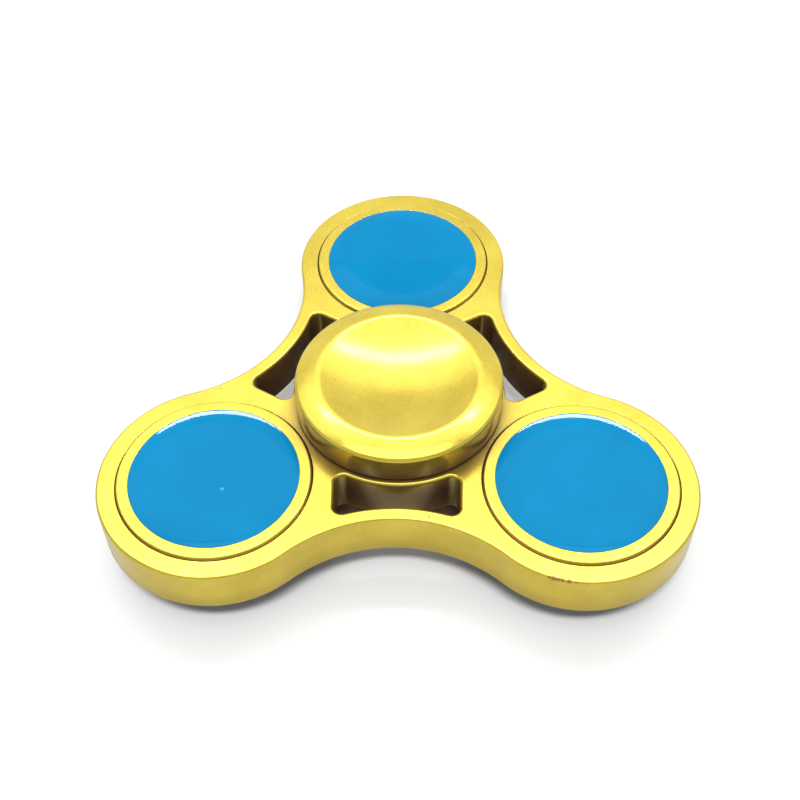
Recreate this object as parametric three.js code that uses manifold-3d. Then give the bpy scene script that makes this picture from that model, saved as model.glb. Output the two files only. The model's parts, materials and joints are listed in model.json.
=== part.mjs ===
// Three-lobed fidget spinner: a cast frame turning on a ball bearing between two dished caps.
// Millimetres, +Z up. The origin is on the spin axis, halfway through the frame's thickness.
import * as THREE from 'three';
import { mergeVertices } from 'three/addons/utils/BufferGeometryUtils.js';
import Module from 'manifold-3d';

const wasm = await Module();
wasm.setup();

// Ball bearing, 608 size
const bearingBoreRadius = 4;
const bearingOuterRadius = 11;
const bearingWidth = 7;
const ballRadius = 1.9845;
const ballCount = 7;
const ballClearance = 0.1;
const grooveDepth = 0.55;
const ringEdge = 0.3;
const shieldThickness = 0.3;
const shieldInset = 0.2;
const shieldStep = 0.8;
const shieldRunningGap = 0.3;
const cageWidth = 1.5;
const cageShieldGap = 0.25;
const cagePocketClearance = 0.15;
const cageSplit = 0.1;

// Frame
const frameThickness = 5.7;
const hubRingWall = 1.38;
const boreWeb = 1.33;
const lobeWall = 2.15;
const windowOpening = 2.85;
const windowSideWall = 2.35;
const rimBand = 1.65;
const innerCorner = 1;
const outerCorner = 1;
const frameEdge = 0.4;
const bearingFit = 0.02;

// Lobe inserts
const lobeBoreRadius = 10.85;
const weightFit = 0.05;
const weightHoleRadius = 4;
const discFlangeGap = 0.15;
const discRecess = 1.05;
const discProud = 0.3;
const discRim = 1.3;
const discRimEdge = 0.3;
const discFloor = 0.75;
const stemFit = 0.1;
const stemEndGap = 0.2;
const seatGap = 0.05;
const enamelFit = 0.05;
const enamelDome = 0.35;
const enamelEdge = 0.45;

// Caps
const capOverhang = 0.88;
const capFrameGap = 0.25;
const capBearingGap = 0.35;
const capSkirtWall = 0.6;
const capBody = 3.45;
const capShoulderDrop = 0.9;
const capEdge = 0.5;
const capBottomEdge = 0.25;
const rimInset = 2.4;
const rimFlat = 0.5;
const rimRound = 0.45;
const dishDepth = 1.8;
const bossWall = 1.6;
const stubFit = 0.04;
const pinRadius = 2;
const pinFit = 0.05;
const pinLength = 2.6;

// Roundness of curves
const ringSegments = 32;
const ballSegments = 12;
const pocketSegments = 16;
const chordError = 0.04;

// Sizes that follow from the ones above
const pitchRadius = (bearingBoreRadius + bearingOuterRadius) / 2;
const bearingTop = bearingWidth / 2;
const shieldTop = bearingTop - shieldInset;
const shieldBottom = shieldTop - shieldThickness;
const frameTop = frameThickness / 2;
const hubBoreRadius = bearingOuterRadius + bearingFit;
const hubRingRadius = hubBoreRadius + hubRingWall;
const lobeRadius = lobeBoreRadius + lobeWall;
const lobePitch = hubBoreRadius + boreWeb + lobeBoreRadius;
const waistRadius = hubRingRadius + windowOpening + rimBand;
const discRadius = lobeBoreRadius - discFlangeGap;
const enamelRadius = discRadius - discRim;
const weightTop = frameTop - discRecess;
const discBottom = weightTop + seatGap;
const discTop = frameTop + discProud;
const capRadius = bearingOuterRadius + capOverhang;
const capBottom = frameTop + capFrameGap;
const capCeiling = Math.max(bearingTop, frameTop) + capBearingGap;
const capTop = capCeiling + capBody;
const bossRadius = bearingBoreRadius + bossWall;
const stubRadius = bearingBoreRadius - stubFit;

const lobes = [
  { name: 'back', angle: Math.PI / 2 },
  { name: 'left', angle: (Math.PI * 7) / 6 },
  { name: 'right', angle: (Math.PI * 11) / 6 },
];

const finishes = {
  goldPaint: { color: 0xe3bd3c, roughness: 0.35, metalness: 0.6 },
  blueEnamel: { color: 0x1590d2, roughness: 0.1, metalness: 0 },
  bearingSteel: { color: 0xb9bcc0, roughness: 0.25, metalness: 1 },
  weightSteel: { color: 0x8a8d91, roughness: 0.45, metalness: 1 },
  cageSteel: { color: 0xa59a86, roughness: 0.4, metalness: 1 },
};

// A closed geometry as a solid that can be joined and cut
function toSolid(geometry) {
  const bare = geometry.clone();
  bare.deleteAttribute('normal');
  bare.deleteAttribute('uv');
  const merged = mergeVertices(bare, 1e-5);
  const triVerts = [];
  const index = merged.index.array;
  for (let i = 0; i < index.length; i += 3) {
    const [a, b, c] = index.slice(i, i + 3);
    if (a !== b && b !== c && c !== a) triVerts.push(a, b, c);
  }
  return new wasm.Manifold(new wasm.Mesh({
    numProp: 3,
    vertProperties: merged.attributes.position.array,
    triVerts: new Uint32Array(triVerts),
  }));
}

function toGeometry(solid) {
  const mesh = solid.getMesh();
  const geometry = new THREE.BufferGeometry();
  geometry.setAttribute('position', new THREE.BufferAttribute(mesh.vertProperties, 3));
  geometry.setIndex(new THREE.BufferAttribute(mesh.triVerts, 1));
  geometry.computeVertexNormals();
  return geometry;
}

// Points of an arc, close enough together to stay within chordError of the true curve
function arc(x, y, radius, start, end) {
  const step = 2 * Math.acos(1 - chordError / radius);
  const count = Math.max(3, Math.ceil(Math.abs(end - start) / step));
  const points = [];
  for (let i = 0; i <= count; i += 1) {
    const angle = start + ((end - start) * i) / count;
    points.push(new THREE.Vector2(x + radius * Math.cos(angle), y + radius * Math.sin(angle)));
  }
  return points;
}

// A profile of radius and height, anticlockwise seen with radius to the right, spun about +Z
function spin(profile) {
  const geometry = new THREE.LatheGeometry([...profile, profile[0]], ringSegments);
  geometry.rotateX(Math.PI / 2);
  return toSolid(geometry);
}

function point(radius, height) {
  return new THREE.Vector2(radius, height);
}

function ring(inner, outer, bottom, top) {
  return spin([point(inner, bottom), point(outer, bottom), point(outer, top), point(inner, top)]);
}

function disc(radius, bottom, top) {
  return ring(0, radius, bottom, top);
}

function flipped(solid) {
  return solid.rotate([180, 0, 0]);
}

// Frame: lobes joined by arcs that meet them smoothly, three windows and four bores

// The radius of the arc that touches two lobes and passes waistRadius from the axis
function waistArcRadius() {
  const rise = lobePitch ** 2 + waistRadius ** 2 - lobePitch * waistRadius - lobeRadius ** 2;
  return rise / (2 * lobeRadius + lobePitch - 2 * waistRadius);
}

function frameOutline() {
  const waistArc = waistArcRadius();
  const waistCentre = waistRadius + waistArc;
  const sixty = Math.PI / 3;
  const points = [];
  for (const { angle } of lobes) {
    const lobe = [lobePitch * Math.cos(angle), lobePitch * Math.sin(angle)];
    const next = angle + sixty;
    const hollow = [waistCentre * Math.cos(next), waistCentre * Math.sin(next)];
    const toHollow = Math.atan2(hollow[1] - lobe[1], hollow[0] - lobe[0]);
    const lean = toHollow - angle;
    const half = Math.abs(Math.atan2(Math.sin(lean), Math.cos(lean)));
    const open = 2 * (half - sixty);
    points.push(...arc(...lobe, lobeRadius, angle - half, angle + half).slice(0, -1));
    const inward = next + Math.PI;
    points.push(...arc(...hollow, waistArc, inward + open / 2, inward - open / 2).slice(0, -1));
  }
  return points;
}

// Bounded by the hub ring, two straight sides and an arc beside the rim band
function windowOutline() {
  const half = lobePitch * Math.sin(Math.PI / 3) - lobeBoreRadius - windowSideWall;
  const waistArc = waistArcRadius();
  const hollow = waistRadius + waistArc;
  const bandRadius = waistArc + rimBand;
  const innerX = half - innerCorner;
  const innerY = Math.sqrt((hubRingRadius + innerCorner) ** 2 - innerX ** 2);
  const outerX = half - outerCorner;
  const outerY = hollow - Math.sqrt((bandRadius + outerCorner) ** 2 - outerX ** 2);
  const innerLean = Math.atan2(innerY, innerX);
  const outerLean = Math.atan2(hollow - outerY, -outerX);
  const right = [
    ...arc(innerX, innerY, innerCorner, innerLean - Math.PI, 0),
    ...arc(outerX, outerY, outerCorner, 0, outerLean),
  ];
  const left = right.map((p) => point(-p.x, p.y)).reverse();
  const hubArc = arc(0, 0, hubRingRadius, Math.PI - innerLean, innerLean).slice(1, -1);
  const bandArc = arc(0, hollow, bandRadius, outerLean - Math.PI, -outerLean).slice(1, -1);
  return [...hubArc, ...right, ...bandArc, ...left];
}

function makeFrame() {
  const outline = new THREE.Shape(frameOutline());
  for (const { angle } of lobes) {
    const hole = windowOutline().map((p) => p.rotateAround(point(0, 0), angle + Math.PI / 2));
    outline.holes.push(new THREE.Path(hole));
  }
  const geometry = new THREE.ExtrudeGeometry(outline, {
    depth: frameThickness - 2 * frameEdge,
    bevelThickness: frameEdge,
    bevelSize: frameEdge,
    bevelOffset: -frameEdge,
    bevelSegments: 1,
  });
  geometry.translate(0, 0, -frameTop + frameEdge);
  let frame = toSolid(geometry);
  frame = frame.subtract(disc(hubBoreRadius, -frameThickness, frameThickness));
  for (const { angle } of lobes) {
    const bore = disc(lobeBoreRadius, -frameThickness, frameThickness);
    frame = frame.subtract(bore.translate([...lobeCentre(angle), 0]));
  }
  return frame;
}

function lobeCentre(angle) {
  return [lobePitch * Math.cos(angle), lobePitch * Math.sin(angle)];
}

// Lobe inserts: a steel weight in the bore, and on each side a gold tray filled with enamel

function makeWeight() {
  return ring(weightHoleRadius, lobeBoreRadius - weightFit, -weightTop, weightTop);
}

function makeTray() {
  const stemRadius = weightHoleRadius - stemFit;
  const floor = discBottom + discFloor;
  const edge = arc(discRadius - discRimEdge, discTop - discRimEdge, discRimEdge, 0, Math.PI / 2);
  return spin([
    point(0, stemEndGap / 2),
    point(stemRadius, stemEndGap / 2),
    point(stemRadius, discBottom),
    point(discRadius, discBottom),
    ...edge,
    point(enamelRadius, discTop),
    point(enamelRadius, floor),
    point(0, floor),
  ]);
}

function makeEnamel() {
  const radius = enamelRadius - enamelFit;
  const bottom = discBottom + discFloor + enamelFit;
  const crown = discTop + enamelDome;
  return spin([
    point(0, bottom),
    point(radius, bottom),
    point(radius, discTop - enamelFit),
    point(radius - enamelEdge / 4, discTop + enamelDome / 3),
    point(radius - enamelEdge, discTop + enamelDome * 0.7),
    point(radius / 2, crown - enamelDome / 12),
    point(0, crown),
  ]);
}

// Bearing

function groove(side) {
  const radius = ballRadius + ballClearance;
  const reach = Math.acos((ballRadius - grooveDepth) / radius);
  return arc(pitchRadius, 0, radius, side - reach, side + reach);
}

function makeInnerRing() {
  const track = groove(Math.PI);
  const shoulder = track[0].x;
  return spin([
    point(bearingBoreRadius, -bearingTop + ringEdge),
    point(bearingBoreRadius + ringEdge, -bearingTop),
    point(shoulder, -bearingTop),
    ...track.reverse(),
    point(shoulder, bearingTop),
    point(bearingBoreRadius + ringEdge, bearingTop),
    point(bearingBoreRadius, bearingTop - ringEdge),
  ]);
}

function makeOuterRing() {
  const track = groove(0);
  const shoulder = track[0].x;
  const step = shoulder + shieldStep;
  const ledge = shieldBottom - seatGap;
  const upper = [
    point(bearingOuterRadius, bearingTop - ringEdge),
    point(bearingOuterRadius - ringEdge, bearingTop),
    point(step, bearingTop),
    point(step, ledge),
    point(shoulder, ledge),
  ];
  const lower = upper.map((p) => point(p.x, -p.y)).reverse();
  return spin([...upper, ...track.reverse(), ...lower]);
}

function makeShield() {
  const inner = pitchRadius - ballRadius + grooveDepth + shieldRunningGap;
  const outer = pitchRadius + ballRadius - grooveDepth + shieldStep - seatGap;
  return ring(inner, outer, shieldBottom, shieldTop);
}

function ballAngle(i) {
  return Math.PI / 2 + (2 * Math.PI * i) / ballCount;
}

function makeBall() {
  const geometry = new THREE.SphereGeometry(ballRadius, ballSegments, ballSegments / 2);
  geometry.rotateX(Math.PI / 2);
  return toSolid(geometry);
}

// Half a ring, with a round pocket across it for each ball
function makeCageHalf() {
  const half = cageWidth / 2;
  const top = shieldBottom - cageShieldGap;
  let cage = ring(pitchRadius - half, pitchRadius + half, cageSplit / 2, top);
  for (let i = 0; i < ballCount; i += 1) {
    const pocketRadius = ballRadius + cagePocketClearance;
    const pocket = new THREE.CylinderGeometry(pocketRadius, pocketRadius, 2 * cageWidth, pocketSegments);
    pocket.rotateZ(Math.PI / 2);
    pocket.translate(pitchRadius, 0, 0);
    pocket.rotateZ(ballAngle(i));
    cage = cage.subtract(toSolid(pocket));
  }
  return cage;
}

// Caps: dished for a finger, resting on the inner ring, their stubs plugged together in its bore

function capProfile() {
  const rim = capRadius - rimInset;
  const dishEdge = rim - rimFlat - rimRound;
  const dishRim = capTop - rimRound / 2;
  const dishRadius = (dishEdge ** 2 + dishDepth ** 2) / (2 * dishDepth);
  const reach = Math.asin(dishEdge / dishRadius);
  const dish = arc(0, dishRim - dishDepth + dishRadius, dishRadius, -Math.PI / 2 + reach, -Math.PI / 2);
  const shoulder = capTop - capShoulderDrop;
  return [
    point(bossRadius, bearingTop + seatGap / 2),
    point(bossRadius, capCeiling),
    point(capRadius - capSkirtWall, capCeiling),
    point(capRadius - capSkirtWall, capBottom),
    point(capRadius - capBottomEdge, capBottom),
    point(capRadius, capBottom + capBottomEdge),
    point(capRadius, shoulder - capEdge),
    point(capRadius - capEdge / 4, shoulder - capEdge / 4),
    point(capRadius - capEdge, shoulder + capEdge / 5),
    point((rim + capRadius) / 2, capTop - capShoulderDrop / 2),
    point(rim + rimRound / 2, capTop - rimRound / 8),
    point(rim, capTop),
    point(rim - rimFlat, capTop),
    point(dishEdge + rimRound / 2, capTop - rimRound / 6),
    ...dish,
  ];
}

// The upper cap's stub is a socket down to the middle of the bearing
function makeUpperCap() {
  return spin([
    point(0, bearingTop),
    point(pinRadius, bearingTop),
    point(pinRadius, stemEndGap / 2),
    point(stubRadius, stemEndGap / 2),
    point(stubRadius, bearingTop + seatGap / 2),
    ...capProfile(),
  ]);
}

// The lower cap's stub carries the pin that plugs into the socket
function makeLowerCap() {
  const pinTop = -stemEndGap / 2 - pinLength;
  return flipped(spin([
    point(0, pinTop),
    point(pinRadius - pinFit, pinTop),
    point(pinRadius - pinFit, stemEndGap / 2),
    point(stubRadius, stemEndGap / 2),
    point(stubRadius, bearingTop + seatGap / 2),
    ...capProfile(),
  ]));
}

// Assembly

const spinner = new THREE.Group();

function addPiece(parent, name, solid, finish) {
  const mesh = new THREE.Mesh(toGeometry(solid), new THREE.MeshStandardMaterial(finishes[finish]));
  mesh.name = name;
  parent.add(mesh);
  return mesh;
}

function addRotor() {
  addPiece(spinner, 'frame', makeFrame(), 'goldPaint');
  for (const { name, angle } of lobes) {
    const lobe = new THREE.Group();
    lobe.position.set(...lobeCentre(angle), 0);
    spinner.add(lobe);
    addPiece(lobe, `counterweight_${name}`, makeWeight(), 'weightSteel');
    addPiece(lobe, `disc_tray_upper_${name}`, makeTray(), 'goldPaint');
    addPiece(lobe, `disc_tray_lower_${name}`, flipped(makeTray()), 'goldPaint');
    addPiece(lobe, `enamel_upper_${name}`, makeEnamel(), 'blueEnamel');
    addPiece(lobe, `enamel_lower_${name}`, flipped(makeEnamel()), 'blueEnamel');
  }
}

function addBearing() {
  addPiece(spinner, 'bearing_outer_ring', makeOuterRing(), 'bearingSteel');
  addPiece(spinner, 'bearing_inner_ring', makeInnerRing(), 'bearingSteel');
  addPiece(spinner, 'bearing_shield_upper', makeShield(), 'bearingSteel');
  addPiece(spinner, 'bearing_shield_lower', flipped(makeShield()), 'bearingSteel');
  addPiece(spinner, 'bearing_cage_upper', makeCageHalf(), 'cageSteel');
  const lowerCage = makeCageHalf().mirror([0, 0, 1]);
  addPiece(spinner, 'bearing_cage_lower', lowerCage, 'cageSteel');
  for (let i = 0; i < ballCount; i += 1) {
    const ball = addPiece(spinner, `bearing_ball_${i + 1}`, makeBall(), 'bearingSteel');
    ball.position.set(pitchRadius * Math.cos(ballAngle(i)), pitchRadius * Math.sin(ballAngle(i)), 0);
  }
}

addRotor();
addBearing();
addPiece(spinner, 'upper_cap', makeUpperCap(), 'goldPaint');
addPiece(spinner, 'lower_cap', makeLowerCap(), 'goldPaint');

export default spinner;
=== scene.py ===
import json
import math

import bmesh
import bpy
from mathutils import Matrix, Vector


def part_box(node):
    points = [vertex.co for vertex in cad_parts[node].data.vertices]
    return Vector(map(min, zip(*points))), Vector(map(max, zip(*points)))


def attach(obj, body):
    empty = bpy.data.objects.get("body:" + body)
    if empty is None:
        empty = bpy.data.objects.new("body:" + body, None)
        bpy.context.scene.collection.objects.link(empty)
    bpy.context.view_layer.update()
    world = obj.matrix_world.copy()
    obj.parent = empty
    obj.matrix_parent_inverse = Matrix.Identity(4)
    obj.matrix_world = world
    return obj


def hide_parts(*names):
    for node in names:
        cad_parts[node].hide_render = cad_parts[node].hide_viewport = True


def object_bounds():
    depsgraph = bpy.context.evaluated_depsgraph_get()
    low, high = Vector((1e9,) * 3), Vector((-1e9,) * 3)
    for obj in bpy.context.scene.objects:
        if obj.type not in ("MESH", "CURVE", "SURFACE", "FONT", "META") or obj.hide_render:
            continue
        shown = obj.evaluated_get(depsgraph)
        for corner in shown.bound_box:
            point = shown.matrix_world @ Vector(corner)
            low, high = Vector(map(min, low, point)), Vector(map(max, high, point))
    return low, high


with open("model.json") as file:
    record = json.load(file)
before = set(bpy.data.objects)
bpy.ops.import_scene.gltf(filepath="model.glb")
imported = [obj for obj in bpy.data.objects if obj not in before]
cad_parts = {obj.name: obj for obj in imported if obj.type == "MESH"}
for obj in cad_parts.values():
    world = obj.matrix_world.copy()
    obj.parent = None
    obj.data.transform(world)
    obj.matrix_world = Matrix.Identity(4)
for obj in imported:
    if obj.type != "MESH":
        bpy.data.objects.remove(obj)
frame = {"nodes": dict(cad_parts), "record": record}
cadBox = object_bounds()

mm = 0.001
mergeGap = 0.0005 * mm
scene = bpy.context.scene
origin = Vector((0, 0, 0))
lobeTurns = {"back": 0, "left": 120, "right": 240}  # degrees round the spin axis, from +Y


def halfWidth(node):
    low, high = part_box(node)
    return (high.x - low.x) / 2


def topOf(node):
    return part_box(node)[1].z


def middleOf(node):
    low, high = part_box(node)
    return (low + high) / 2


def lineTo(bm, vertex, place):
    made = bmesh.ops.extrude_vert_indiv(bm, verts=[vertex])["verts"][0]
    made.co = place
    return made


def sweep(bm, vertex, centre, degrees, steps, axis=(0, 0, 1)):
    made = bmesh.ops.spin(bm, geom=[vertex], cent=centre, axis=axis, dvec=(0, 0, 0),
                          angle=math.radians(degrees), steps=steps)
    return [part for part in made["geom_last"] if isinstance(part, bmesh.types.BMVert)][0]


def bearingOf(place, centre=origin):
    return math.degrees(math.atan2(place.y - centre.y, place.x - centre.x))


def merge(bm):
    bmesh.ops.remove_doubles(bm, verts=bm.verts[:], dist=mergeGap)


def roundEdges(bm, edges, radius, segments):
    bmesh.ops.bevel(bm, geom=edges, offset=radius, offset_type="OFFSET", segments=segments,
                    profile=0.5, affect="EDGES", clamp_overlap=False, material=-1)


def makePiece(bm, name, material, body, nodes):
    bmesh.ops.recalc_face_normals(bm, faces=bm.faces[:])
    mesh = bpy.data.meshes.new(name)
    bm.to_mesh(mesh)
    bm.free()
    mesh.materials.append(material)
    piece = bpy.data.objects.new(name, mesh)
    scene.collection.objects.link(piece)
    for face in mesh.polygons:
        face.use_smooth = True
    weigh = piece.modifiers.new("evenShading", "WEIGHTED_NORMAL")
    weigh.keep_sharp = True
    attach(piece, body)
    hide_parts(*nodes)
    return piece


def newMaterial(name):
    material = bpy.data.materials.new(name)
    material.use_nodes = True
    nodes = material.node_tree.nodes
    shader = nodes["Principled BSDF"]
    return material, nodes, material.node_tree.links, shader


def noiseAt(nodes, links, source, scale, detail=3.0, roughness=0.5):
    noise = nodes.new("ShaderNodeTexNoise")
    noise.inputs["Scale"].default_value = scale
    noise.inputs["Detail"].default_value = detail
    noise.inputs["Roughness"].default_value = roughness
    links.new(source, noise.inputs["Vector"])
    return noise.outputs["Fac"]


def rampOf(nodes, links, source, stops):
    ramp = nodes.new("ShaderNodeValToRGB")
    ramp.color_ramp.elements[0].position = stops[0][0]
    ramp.color_ramp.elements[0].color = stops[0][1]
    ramp.color_ramp.elements[1].position = stops[-1][0]
    ramp.color_ramp.elements[1].color = stops[-1][1]
    for place, colour in stops[1:-1]:
        ramp.color_ramp.elements.new(place).color = colour
    links.new(source, ramp.inputs["Fac"])
    return ramp.outputs["Color"]


def rangeOf(nodes, links, source, low, high, fromLow=0.3, fromHigh=0.7):
    remap = nodes.new("ShaderNodeMapRange")
    remap.inputs["From Min"].default_value = fromLow
    remap.inputs["From Max"].default_value = fromHigh
    remap.inputs["To Min"].default_value = low
    remap.inputs["To Max"].default_value = high
    links.new(source, remap.inputs["Value"])
    return remap.outputs["Result"]


def mixOf(nodes, links, share, first, second):
    # each of first and second is a colour or a socket
    mix = nodes.new("ShaderNodeMix")
    mix.data_type = "RGBA"
    links.new(share, mix.inputs["Factor"])
    for socket, value in ((mix.inputs[6], first), (mix.inputs[7], second)):
        if isinstance(value, bpy.types.NodeSocket):
            links.new(value, socket)
        else:
            socket.default_value = value
    return mix.outputs[2]


def spotsOf(nodes, links, source, spots, blur):
    # 1 inside any of the spots, each a centre and a radius, fading to 0 just outside it
    total = None
    for centre, radius in spots:
        away = nodes.new("ShaderNodeVectorMath")
        away.operation = "DISTANCE"
        links.new(source, away.inputs[0])
        away.inputs[1].default_value = centre
        spot = rangeOf(nodes, links, away.outputs["Value"], 1, 0, radius * (1 - blur), radius * (1 + blur))
        if total:
            both = nodes.new("ShaderNodeMath")
            both.operation = "MAXIMUM"
            links.new(total, both.inputs[0])
            links.new(spot, both.inputs[1])
            spot = both.outputs[0]
        total = spot
    return total


def bumpOf(nodes, links, height, distance, strength, under=None):
    bump = nodes.new("ShaderNodeBump")
    if under:
        links.new(under, bump.inputs["Normal"])
    bump.inputs["Distance"].default_value = distance
    bump.inputs["Strength"].default_value = strength
    links.new(height, bump.inputs["Height"])
    return bump.outputs["Normal"]


goldPaint = {
    "light": (0.83, 0.65, 0.093, 1),
    "deep": (0.68, 0.515, 0.064, 1),
    "shaded": (0.16, 0.085, 0.045, 1),  # painted shade in gaps, under the caps and inside the windows
    "shadeReach": 6 * mm,
    "shadeRange": (0.38, 0.8),  # openness at which the painted shade is full, to where there is none
    # the caps take a deeper painted shade on their walls
    "capShadeRange": (0.66, 1.0),
    "chipped": (0.38, 0.27, 0.07, 1),
    # a lobe, a bearing round it in degrees and a radius in mm
    "chips": [("right", -109, 0.2), ("right", -107, 0.24), ("right", -105, 0.28), ("right", -103, 0.24),
              ("right", -100, 0.26), ("right", -97, 0.14), ("left", 96, 0.2), ("left", 93, 0.16),
              ("back", 171, 0.12)],
    "chipDepth": 0.12 * mm,
    "arcChip": (3.5 * mm, -16.55 * mm),
    "arcChipRadius": 0.2 * mm,
    "ragged": 0.7 * mm,
    "lowerEdgeShade": 0.3,  # painted shade: the paint darkens and browns towards the frame's lower edge
    "lowerEdgeShadeReach": 2.6 * mm,
    "flakeScale": 5200,
    "cloudScale": 190,
    "flakeShare": 0.6,
    "peelScale": 900,
    "peelBump": (0.008 * mm, 0.25),  # height and strength
    "flakeBump": (0.004 * mm, 0.5),
    "roughness": (0.17, 0.23),
    "metal": (0.45, 0.88),  # in full painted shade, in the open
    "coat": 0.08,
    "coatRoughness": 0.15,
}


def chipPlaces():
    # chips sit on the frame's top edge, at a bearing round a lobe's own centre, with a radius in mm
    places = []
    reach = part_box("frame")[1].y - middleOf("counterweight_back").y - goldPaint["chipDepth"]
    for lobe, bearing, radius in goldPaint["chips"]:
        middle = middleOf("counterweight_" + lobe)
        angle = math.radians(bearing)
        edge = (middle.x + reach * math.cos(angle), middle.y + reach * math.sin(angle),
                topOf("frame") - goldPaint["chipDepth"])
        places.append((edge, radius * mm))
    places.append(((*goldPaint["arcChip"], topOf("frame")), goldPaint["arcChipRadius"]))
    return places


def raggedPlace(nodes, links, place):
    # the same place, pushed about by fine noise
    noise = nodes.new("ShaderNodeTexNoise")
    noise.inputs["Scale"].default_value = goldPaint["flakeScale"] / 2
    links.new(place, noise.inputs["Vector"])
    centred = nodes.new("ShaderNodeVectorMath")
    centred.operation = "SUBTRACT"
    links.new(noise.outputs["Color"], centred.inputs[0])
    centred.inputs[1].default_value = (0.5, 0.5, 0.5)
    pushed = nodes.new("ShaderNodeVectorMath")
    pushed.operation = "MULTIPLY_ADD"
    links.new(centred.outputs[0], pushed.inputs[0])
    pushed.inputs[1].default_value = [goldPaint["ragged"]] * 3
    links.new(place, pushed.inputs[2])
    return pushed.outputs[0]


def lowerEdgeShadeShare(nodes, links, place):
    # painted shade: 0 over most of the frame's side, rising to its full share at its lower edge
    axes = nodes.new("ShaderNodeSeparateXYZ")
    links.new(place, axes.inputs[0])
    bottom = -topOf("frame")
    return rangeOf(nodes, links, axes.outputs["Z"], goldPaint["lowerEdgeShade"], 0, bottom,
                   bottom + goldPaint["lowerEdgeShadeReach"])


def makeGoldPaint(name, shadeRange):
    s = goldPaint
    material, nodes, links, shader = newMaterial(name)
    place = nodes.new("ShaderNodeTexCoord").outputs["Object"]
    flakes = noiseAt(nodes, links, place, s["flakeScale"], 2)
    clouds = noiseAt(nodes, links, place, s["cloudScale"], 4)
    blend = nodes.new("ShaderNodeMath")
    blend.operation = "MULTIPLY_ADD"
    links.new(flakes, blend.inputs[0])
    blend.inputs[1].default_value = s["flakeShare"]
    links.new(clouds, blend.inputs[2])
    colour = rampOf(nodes, links, blend.outputs[0], [(0.6, s["deep"]), (1.0, s["light"])])
    # painted shade: ambient occlusion mixes the dark shaded colour into gaps, windows and under the caps
    openness = nodes.new("ShaderNodeAmbientOcclusion")
    openness.samples = 8
    openness.inputs["Distance"].default_value = s["shadeReach"]
    shading = rangeOf(nodes, links, openness.outputs["AO"], 0, 1, *shadeRange)
    # painted shade towards the frame's lower edge, mixed into the paint colour
    withLowerEdgeShade = mixOf(nodes, links, lowerEdgeShadeShare(nodes, links, place), colour, s["shaded"])
    painted = mixOf(nodes, links, shading, s["shaded"], withLowerEdgeShade)
    chips = spotsOf(nodes, links, raggedPlace(nodes, links, place), chipPlaces(), 0.3)
    links.new(mixOf(nodes, links, chips, painted, s["chipped"]), shader.inputs["Base Color"])
    links.new(rangeOf(nodes, links, flakes, *s["roughness"]), shader.inputs["Roughness"])
    peel = bumpOf(nodes, links, noiseAt(nodes, links, place, s["peelScale"], 2), *s["peelBump"])
    links.new(bumpOf(nodes, links, flakes, *s["flakeBump"], peel), shader.inputs["Normal"])
    links.new(rangeOf(nodes, links, shading, *s["metal"], 0, 1), shader.inputs["Metallic"])
    shader.inputs["Coat Weight"].default_value = s["coat"]
    shader.inputs["Coat Roughness"].default_value = s["coatRoughness"]
    return material


blueEnamel = {
    "light": (0.0005, 0.272, 0.57, 1),
    "deep": (0.0005, 0.246, 0.52, 1),
    # a paler spot for a tiny bubble: partly the bubble's own colour, partly painted highlight
    "bubbleAndHighlight": (0.12, 0.52, 0.85, 1),
    "bubbleAt": (1.2 * mm, -2.1 * mm),  # from the left disc's middle
    "bubbleRadius": 0.2 * mm,
    "cloudScale": 150,
    "rippleScale": 200,
    "rippleBump": (0.01 * mm, 0.03),
    "roughness": 0.3,
    "specular": 0.0,
    "coat": 0.22,
    "coatRoughness": 0.03,
}


def makeBlueEnamel():
    s = blueEnamel
    material, nodes, links, shader = newMaterial("blueEnamel")
    place = nodes.new("ShaderNodeTexCoord").outputs["Object"]
    clouds = noiseAt(nodes, links, place, s["cloudScale"], 4)
    colour = rampOf(nodes, links, clouds, [(0.35, s["deep"]), (0.65, s["light"])])
    middle = middleOf("enamel_upper_left")
    across, along = s["bubbleAt"]
    spot = (middle.x + across, middle.y + along, topOf("enamel_upper_left"))
    # the bubble's spot, painted paler: partly its own colour, partly painted highlight
    bubbleAndHighlight = spotsOf(nodes, links, place, [(spot, s["bubbleRadius"])], 0.5)
    links.new(mixOf(nodes, links, bubbleAndHighlight, colour, s["bubbleAndHighlight"]), shader.inputs["Base Color"])
    ripple = noiseAt(nodes, links, place, s["rippleScale"], 2)
    links.new(bumpOf(nodes, links, ripple, *s["rippleBump"]), shader.inputs["Coat Normal"])
    shader.inputs["Roughness"].default_value = s["roughness"]
    shader.inputs["Specular IOR Level"].default_value = s["specular"]
    shader.inputs["Coat Weight"].default_value = s["coat"]
    shader.inputs["Coat Roughness"].default_value = s["coatRoughness"]
    return material


steels = {
    "bearing_steel": {"name": "bearingSteel", "light": (0.72, 0.73, 0.75, 1), "deep": (0.60, 0.61, 0.63, 1),
                      "roughness": (0.12, 0.22), "scale": 900},
    "weight_steel": {"name": "turnedSteel", "light": (0.48, 0.49, 0.51, 1), "deep": (0.33, 0.34, 0.36, 1),
                     "roughness": (0.35, 0.5), "scale": 400},
    "cage_steel": {"name": "pressedSteel", "light": (0.56, 0.53, 0.47, 1), "deep": (0.42, 0.39, 0.34, 1),
                   "roughness": (0.3, 0.45), "scale": 500},
}


def makeSteel(name, light, deep, roughness, scale):
    material, nodes, links, shader = newMaterial(name)
    place = nodes.new("ShaderNodeTexCoord").outputs["Object"]
    grain = noiseAt(nodes, links, place, scale, 3)
    links.new(rampOf(nodes, links, grain, [(0.3, deep), (0.7, light)]), shader.inputs["Base Color"])
    links.new(rangeOf(nodes, links, grain, *roughness), shader.inputs["Roughness"])
    shader.inputs["Metallic"].default_value = 1.0
    return material


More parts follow.
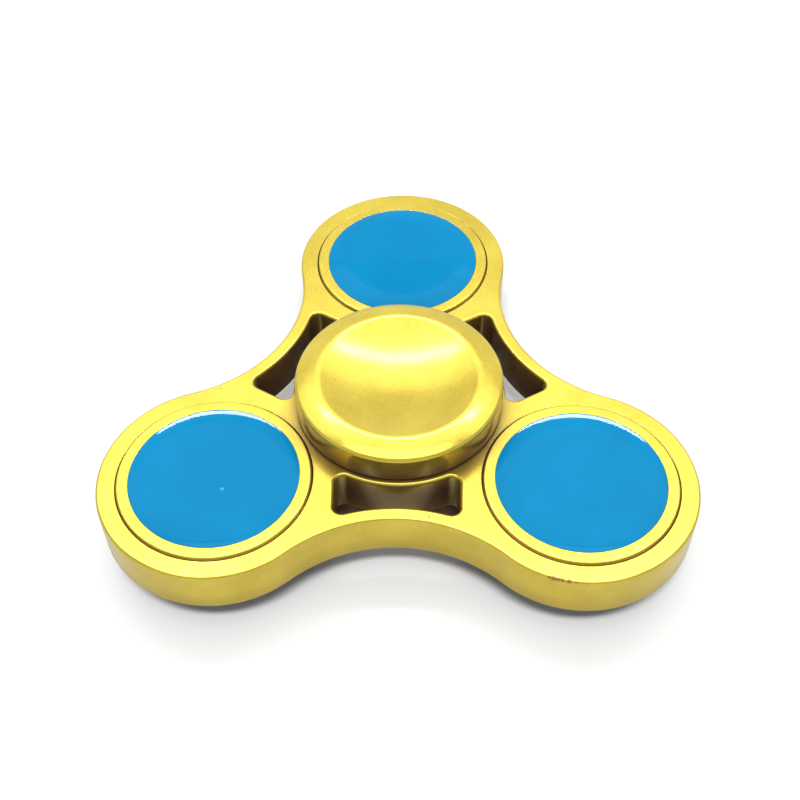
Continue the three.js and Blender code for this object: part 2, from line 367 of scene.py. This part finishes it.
materials = {
    "gold_paint": makeGoldPaint("satinGoldPaint", goldPaint["shadeRange"]),
    "blue_enamel": makeBlueEnamel(),
}
for slotName in steels:
    materials[slotName] = makeSteel(**steels[slotName])
# a copy of the gold paint for the caps, with deeper painted shade on their walls
capPaintDeepShade = makeGoldPaint("satinGoldCapPaintDeepShade", goldPaint["capShadeRange"])
print("materials made")


pitch = middleOf("counterweight_back").y
frameSizes = {
    "top": topOf("frame"),
    "lobeRadius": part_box("frame")[1].y - pitch,
    "lobeBore": halfWidth("counterweight_back") + 0.05 * mm,  # with its fit
    "hubBore": halfWidth("bearing_outer_ring") + 0.02 * mm,
    "hubWall": 1.38 * mm,
    "windowOpening": 2.85 * mm,
    "rimBand": 1.65 * mm,
    "sideWall": 2.35 * mm,
    "innerCorner": 1.0 * mm,
    "outerCorner": 1.0 * mm,
    "edgeRound": 0.36 * mm,
    "boreRound": 0.07 * mm,
    "boreReach": 0.05 * mm,  # an edge this near a bore's wall is the bore's own
    "sharpTurn": 80,  # degrees, from which an edge is rounded
}


def makeFrame():
    s = frameSizes
    lobe = Vector((0, pitch, -s["top"]))
    hub = Vector((0, 0, -s["top"]))
    hubRing = s["hubBore"] + s["hubWall"]
    waist = hubRing + s["windowOpening"] + s["rimBand"]
    rise = pitch ** 2 + waist ** 2 - pitch * waist - s["lobeRadius"] ** 2
    waistArc = rise / (2 * s["lobeRadius"] + pitch - 2 * waist)
    along = Vector((math.cos(math.radians(30)), math.sin(math.radians(30)), 0))  # through the window
    across = Vector((-along.y, along.x, 0))  # from the window towards the lobe
    hollow = hub + along * (waist + waistArc)
    half = pitch * math.sin(math.radians(60)) - s["lobeBore"] - s["sideWall"]
    bandArc = waistArc + s["rimBand"]

    # centres of the window's two corners on this side
    innerAcross = half - s["innerCorner"]
    innerAlong = math.sqrt((hubRing + s["innerCorner"]) ** 2 - innerAcross ** 2)
    innerCentre = hub + along * innerAlong + across * innerAcross
    outerAcross = half - s["outerCorner"]
    outerAlong = math.sqrt((bandArc + s["outerCorner"]) ** 2 - outerAcross ** 2)
    outerCentre = hollow - along * outerAlong + across * outerAcross

    # one sixth of the frame, from the tip of a lobe round to the middle of a window
    bm = bmesh.new()
    tip = bm.verts.new(lobe + Vector((0, s["lobeRadius"], 0)))
    toHollow = bearingOf(hollow, lobe)
    tangent = sweep(bm, tip, lobe, toHollow - 90, 64)
    atWaist = sweep(bm, tangent, hollow, 210 - (toHollow + 180), 20)
    bandInside = lineTo(bm, atWaist, hollow - along * bandArc)
    toOuter = bearingOf(outerCentre, hollow) % 360
    cornerStart = sweep(bm, bandInside, hollow, toOuter - 210, 14)
    cornerEnd = sweep(bm, cornerStart, outerCentre, (120 - (toOuter - 180)) % 360, 12)
    side = lineTo(bm, cornerEnd, innerCentre + across * s["innerCorner"])
    toInner = bearingOf(innerCentre)
    ringStart = sweep(bm, side, innerCentre, (toInner + 180 - 120) % 360, 12)
    ringMiddle = sweep(bm, ringStart, hub, 30 - toInner, 14)
    hubStart = lineTo(bm, ringMiddle, hub + along * s["hubBore"])
    hubEnd = sweep(bm, hubStart, hub, 60, 24)
    lobeStart = lineTo(bm, hubEnd, lobe - Vector((0, s["lobeBore"], 0)))
    lobeEnd = sweep(bm, lobeStart, lobe, 180, 72)
    bm.edges.new((lobeEnd, tip))
    merge(bm)
    bmesh.ops.contextual_create(bm, geom=bm.edges[:])

    bmesh.ops.mirror(bm, geom=bm.verts[:] + bm.edges[:] + bm.faces[:], matrix=Matrix.Identity(4),
                     merge_dist=2 * mergeGap, axis="X")
    third = bm.verts[:] + bm.edges[:] + bm.faces[:]
    for turn in (120, 240):
        copy = bmesh.ops.duplicate(bm, geom=third)["geom"]
        verts = [part for part in copy if isinstance(part, bmesh.types.BMVert)]
        bmesh.ops.rotate(bm, verts=verts, cent=hub, matrix=Matrix.Rotation(math.radians(turn), 3, "Z"))
    merge(bm)
    raised = bmesh.ops.extrude_face_region(bm, geom=bm.faces[:])["geom"]
    verts = [part for part in raised if isinstance(part, bmesh.types.BMVert)]
    bmesh.ops.translate(bm, verts=verts, vec=(0, 0, 2 * s["top"]))
    bmesh.ops.recalc_face_normals(bm, faces=bm.faces[:])

    outer, bores = [], []
    lobes = [Matrix.Rotation(math.radians(t), 3, "Z") @ Vector((0, pitch, 0)) for t in lobeTurns.values()]
    for edge in bm.edges:
        if len(edge.link_faces) != 2 or edge.calc_face_angle() < math.radians(s["sharpTurn"]):
            continue
        ends = [vert.co for vert in edge.verts]
        if abs(ends[0].z - ends[1].z) > 2 * mergeGap:
            continue
        middle = (ends[0] + ends[1]) / 2
        flat = Vector((middle.x, middle.y, 0))
        nearBore = flat.length < s["hubBore"] + s["boreReach"]
        nearBore = nearBore or min((flat - at).length for at in lobes) < s["lobeBore"] + s["boreReach"]
        (bores if nearBore else outer).append(edge)
    roundEdges(bm, outer, s["edgeRound"], 5)
    roundEdges(bm, [edge for edge in bores if edge.is_valid], s["boreRound"], 2)
    return makePiece(bm, "frame_casting", materials["gold_paint"], "rotor", ["frame"])


makeFrame()
print("frame made")


def turn(bm, steps=128):
    bmesh.ops.spin(bm, geom=bm.verts[:] + bm.edges[:], cent=(0, 0, 0), axis=(0, 0, 1), dvec=(0, 0, 0),
                   angle=math.radians(360), steps=steps, use_merge=True)
    merge(bm)


def ringAt(bm, radius, height, gap=0.01 * mm):
    found = []
    for edge in bm.edges:
        near = True
        for vert in edge.verts:
            away = math.hypot(vert.co.x, vert.co.y) - radius
            near = near and abs(away) < gap and abs(vert.co.z - height) < gap
        if near:
            found.append(edge)
    return found


def place(bm, centre, turnedOver):
    if turnedOver:
        bmesh.ops.rotate(bm, verts=bm.verts[:], cent=(0, 0, 0), matrix=Matrix.Rotation(math.pi, 3, "X"))
    bmesh.ops.translate(bm, verts=bm.verts[:], vec=(centre.x, centre.y, 0))


tray = {
    "radius": halfWidth("disc_tray_upper_back"),
    "top": topOf("disc_tray_upper_back"),
    "bottom": topOf("counterweight_back") + 0.05 * mm,
    "stem": 3.9 * mm,
    "stemEnd": 0.1 * mm,
    "rim": 1.3 * mm,
    "floor": 0.75 * mm,
    "outerRound": 0.2 * mm,
    "innerRound": 0.03 * mm,
    "stepDrop": 0.05 * mm,  # below the frame's top, the flange nearly fills its seat
    "stepOut": 0.12 * mm,
}


def makeTray(name, node, centre, turnedOver):
    s = tray
    inner = s["radius"] - s["rim"]
    floor = s["bottom"] + s["floor"]
    bm = bmesh.new()
    vertex = bm.verts.new((0, 0, s["stemEnd"]))
    step = frameSizes["top"] - s["stepDrop"]
    skirt = s["radius"] + s["stepOut"]
    corners = [(s["stem"], s["stemEnd"]), (s["stem"], s["bottom"]), (skirt, s["bottom"]), (skirt, step),
               (s["radius"], step), (s["radius"], s["top"]), (inner, s["top"]), (inner, floor), (0, floor)]
    for radius, height in corners:
        vertex = lineTo(bm, vertex, (radius, 0, height))
    turn(bm)
    roundEdges(bm, ringAt(bm, s["radius"], s["top"]), s["outerRound"], 5)
    roundEdges(bm, ringAt(bm, inner, s["top"]), s["innerRound"], 2)
    place(bm, centre, turnedOver)
    return makePiece(bm, name, materials["gold_paint"], "rotor", [node])


enamel = {
    "radius": tray["radius"] - tray["rim"] - 0.01 * mm,  # just clear of the rim's wall
    "crown": topOf("enamel_upper_back") + 0.12 * mm,  # a little proud of the plain disc
    "bottom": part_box("enamel_upper_back")[0].z,
    "shoulder": 2.55 * mm,  # width of the rounded border
    "bend": 7.5 * mm,  # its radius
    "edgeRound": 0.03 * mm,
}


def makeEnamel(name, node, centre, turnedOver):
    s = enamel
    flat = s["radius"] - s["shoulder"]
    bend = math.degrees(math.asin(s["shoulder"] / s["bend"]))
    bm = bmesh.new()
    middle = bm.verts.new((0, 0, s["crown"]))
    borderStart = lineTo(bm, middle, (flat, 0, s["crown"]))
    border = sweep(bm, borderStart, (flat, 0, s["crown"] - s["bend"]), bend, 16, axis=(0, 1, 0))
    radius, height = border.co.x, border.co.z
    foot = lineTo(bm, border, (radius, 0, s["bottom"]))
    lineTo(bm, foot, (0, 0, s["bottom"]))
    turn(bm)
    roundEdges(bm, ringAt(bm, radius, height), s["edgeRound"], 3)
    place(bm, centre, turnedOver)
    return makePiece(bm, name, materials["blue_enamel"], "rotor", [node])


glossyDiscs = bpy.data.collections.new("glossyDiscs")  # the far window shows in these
stripFree = bpy.data.collections.new("stripFree")  # the strip above doesn't show in these
for lobeName in lobeTurns:
    centre = middleOf("counterweight_" + lobeName)
    for level, turnedOver in (("upper", False), ("lower", True)):
        makeTray(f"disc_rim_{level}_{lobeName}", f"disc_tray_{level}_{lobeName}", centre, turnedOver)
        disc = makeEnamel(f"enamel_disc_{level}_{lobeName}", f"enamel_{level}_{lobeName}", centre, turnedOver)
        stripFree.objects.link(disc)
        if lobeName != "back":
            glossyDiscs.objects.link(disc)
for member in stripFree.collection_objects:
    member.light_linking.link_state = "EXCLUDE"
print("discs made")


cap = {
    "radius": halfWidth("upper_cap"),
    "top": topOf("upper_cap"),
    "bottom": topOf("frame") + 0.25 * mm,
    "ceiling": 3.85 * mm,
    "skirt": 0.6 * mm,
    "boss": 5.6 * mm,
    "seat": 3.525 * mm,
    "rimInset": 2.4 * mm,
    "rimWidth": 0.5 * mm,
    "rimRound": 0.4 * mm,
    "dishDepth": 1.8 * mm,
    "shoulderDrop": 0.85 * mm,
    "shoulderSwell": 0.1 * mm,
    "shoulderRound": 0.36 * mm,
    "skirtRound": 0.2 * mm,
}
capStubs = {
    "upper": [(0, 3.5), (2, 3.5), (2, 0.1), (3.96, 0.1)],
    "lower": [(0, -2.7), (1.95, -2.7), (1.95, 0.1), (3.96, 0.1)],
}


def makeCap(name, node, level, turnedOver):
    s = cap
    rim = s["radius"] - s["rimInset"]
    dishEdge = rim - s["rimWidth"]
    dishRadius = (dishEdge ** 2 + s["dishDepth"] ** 2) / (2 * s["dishDepth"])
    reach = math.degrees(math.asin(dishEdge / dishRadius))
    shoulder = s["top"] - s["shoulderDrop"]
    middle = ((rim + s["radius"]) / 2, s["top"] - s["shoulderDrop"] / 2 + s["shoulderSwell"])
    stub = [(radius * mm, height * mm) for radius, height in capStubs[level]]
    bm = bmesh.new()
    vertex = bm.verts.new((stub[0][0], 0, stub[0][1]))
    corners = stub[1:] + [
        (stub[-1][0], s["seat"]), (s["boss"], s["seat"]), (s["boss"], s["ceiling"]),
        (s["radius"] - s["skirt"], s["ceiling"]), (s["radius"] - s["skirt"], s["bottom"]),
        (s["radius"], s["bottom"]), (s["radius"], shoulder), middle, (rim, s["top"]), (dishEdge, s["top"]),
    ]
    for radius, height in corners:
        vertex = lineTo(bm, vertex, (radius, 0, height))
    sweep(bm, vertex, (0, 0, s["top"] - s["dishDepth"] + dishRadius), reach, 24, axis=(0, 1, 0))
    turn(bm, 160)
    roundEdges(bm, ringAt(bm, s["radius"], shoulder), s["shoulderRound"], 6)
    roundEdges(bm, ringAt(bm, *middle), s["shoulderRound"], 3)
    roundEdges(bm, ringAt(bm, rim, s["top"]), s["rimRound"] / 2, 4)
    roundEdges(bm, ringAt(bm, dishEdge, s["top"]), s["rimRound"] / 2, 4)
    roundEdges(bm, ringAt(bm, s["radius"], s["bottom"]), s["skirtRound"], 3)
    place(bm, origin, turnedOver)
    return makePiece(bm, name, capPaintDeepShade, "hub", [node])


makeCap("finger_cap_upper", "upper_cap", "upper", False)
makeCap("finger_cap_lower", "lower_cap", "lower", True)
print("caps made")


# the pieces inside keep their plain shape and take a finish
for entry in frame["record"]["subparts"]:
    node = frame["nodes"][entry["node"]]
    node.data.materials.clear()
    node.data.materials.append(materials[entry["material_slot"]])
print("steel parts finished")


table = {
    "height": cadBox[0].z,
    "size": 2.5,
    "seen": (0.44, 0.44, 0.44, 1),  # what the camera sees is brighter than what the metal mirrors
    "light": (0.30, 0.30, 0.293, 1),
    "deep": (0.285, 0.285, 0.28, 1),
    "grainScale": 900,
    "roughness": 0.6,
}


def cameraRay(nodes):
    return nodes.new("ShaderNodeLightPath").outputs["Is Camera Ray"]


def makeTable():
    material, nodes, links, shader = newMaterial("paleTable")
    place = nodes.new("ShaderNodeTexCoord").outputs["Object"]
    grain = noiseAt(nodes, links, place, table["grainScale"], 2)
    paper = rampOf(nodes, links, grain, [(0.3, table["deep"]), (0.7, table["light"])])
    links.new(mixOf(nodes, links, cameraRay(nodes), paper, table["seen"]), shader.inputs["Base Color"])
    shader.inputs["Roughness"].default_value = table["roughness"]
    bm = bmesh.new()
    bmesh.ops.create_grid(bm, x_segments=1, y_segments=1, size=table["size"])
    bmesh.ops.translate(bm, verts=bm.verts[:], vec=(0, 0, table["height"]))
    mesh = bpy.data.meshes.new("table")
    bm.to_mesh(mesh)
    bm.free()
    mesh.materials.append(material)
    floor = bpy.data.objects.new("table", mesh)
    scene.collection.objects.link(floor)
    return floor


# "rise" is the angle above the far side of the table: 90 is overhead, more than 90 is on the near side
softBoxes = {
    "backWall": {"rise": 18, "distance": 1.2, "width": 2.6, "height": 1.1, "brightness": 0.33},
    "ceiling": {"rise": 66, "distance": 0.7, "width": 1.6, "height": 0.56, "brightness": 1.0},
    "topStrip": {"rise": 66, "distance": 0.6, "width": 0.6, "height": 0.036, "brightness": 22.0},
    "overhead": {"rise": 104, "distance": 0.6, "width": 0.6, "height": 0.28, "brightness": 2.3},
    "farWindow": {"rise": 19, "distance": 0.8, "width": 0.92, "height": 0.15, "brightness": 46.0},
    "tableKey": {"rise": 112, "distance": 5.0, "width": 1.8, "height": 0.6, "brightness": 90.0},
}
room = {"colour": (1.0, 1.0, 0.985, 1), "strength": 0.62, "seen": 1.05}


def makeSoftBox(name, rise, distance, width, height, brightness):
    light = bpy.data.lights.new(name, "AREA")
    light.shape = "RECTANGLE"
    light.size = width
    light.size_y = height
    light.energy = brightness * math.pi * width * height
    lamp = bpy.data.objects.new(name, light)
    angle = math.radians(rise)
    lamp.location = (0, distance * math.cos(angle), distance * math.sin(angle))
    lamp.rotation_euler = (angle - math.pi / 2, 0, 0)
    scene.collection.objects.link(lamp)
    return lamp


def makeLights(floor):
    world = bpy.data.worlds.new("studio")
    world.use_nodes = True
    background = world.node_tree.nodes["Background"]
    background.inputs["Color"].default_value = room["colour"]
    behind = rangeOf(world.node_tree.nodes, world.node_tree.links, cameraRay(world.node_tree.nodes),
                     room["strength"], room["seen"], 0, 1)
    world.node_tree.links.new(behind, background.inputs["Strength"])
    scene.world = world
    lamps = {name: makeSoftBox(name, **softBoxes[name]) for name in softBoxes}
    lamps["farWindow"].light_linking.receiver_collection = glossyDiscs
    lamps["farWindow"].visible_diffuse = False
    lamps["topStrip"].light_linking.receiver_collection = stripFree
    lamps["tableKey"].light_linking.receiver_collection = bpy.data.collections.new("tableOnly")
    lamps["tableKey"].light_linking.receiver_collection.objects.link(floor)


camera = {
    "azimuth": 1.37,
    "elevation": 49.75,
    "roll": -0.46,
    "distance": 139.1 * mm,
    "shiftRight": 0.10 * mm,
    "shiftUp": -0.55 * mm,
    "lens": 54.28,
    "aimHeight": 3.45 * mm,
}


def makeCamera():
    around, above = math.radians(camera["azimuth"]), math.radians(camera["elevation"])
    back = Vector((math.sin(around) * math.cos(above), -math.cos(around) * math.cos(above), math.sin(above)))
    right = Vector((math.cos(around), math.sin(around), 0))
    up = back.cross(right)
    roll = Matrix.Rotation(math.radians(camera["roll"]), 3, back)
    right, up = roll @ right, roll @ up
    aim = Vector((0, 0, camera["aimHeight"]))
    spot = aim + back * camera["distance"] + right * camera["shiftRight"] + up * camera["shiftUp"]
    data = bpy.data.cameras.new("camera")
    data.lens = camera["lens"]
    data.sensor_width = 36
    data.clip_start = 0.005
    eye = bpy.data.objects.new("camera", data)
    eye.matrix_world = Matrix((right, up, back)).transposed().to_4x4()
    eye.location = spot
    scene.collection.objects.link(eye)
    scene.camera = eye


makeLights(makeTable())
makeCamera()
scene.view_settings.view_transform = "Standard"
print("studio set")
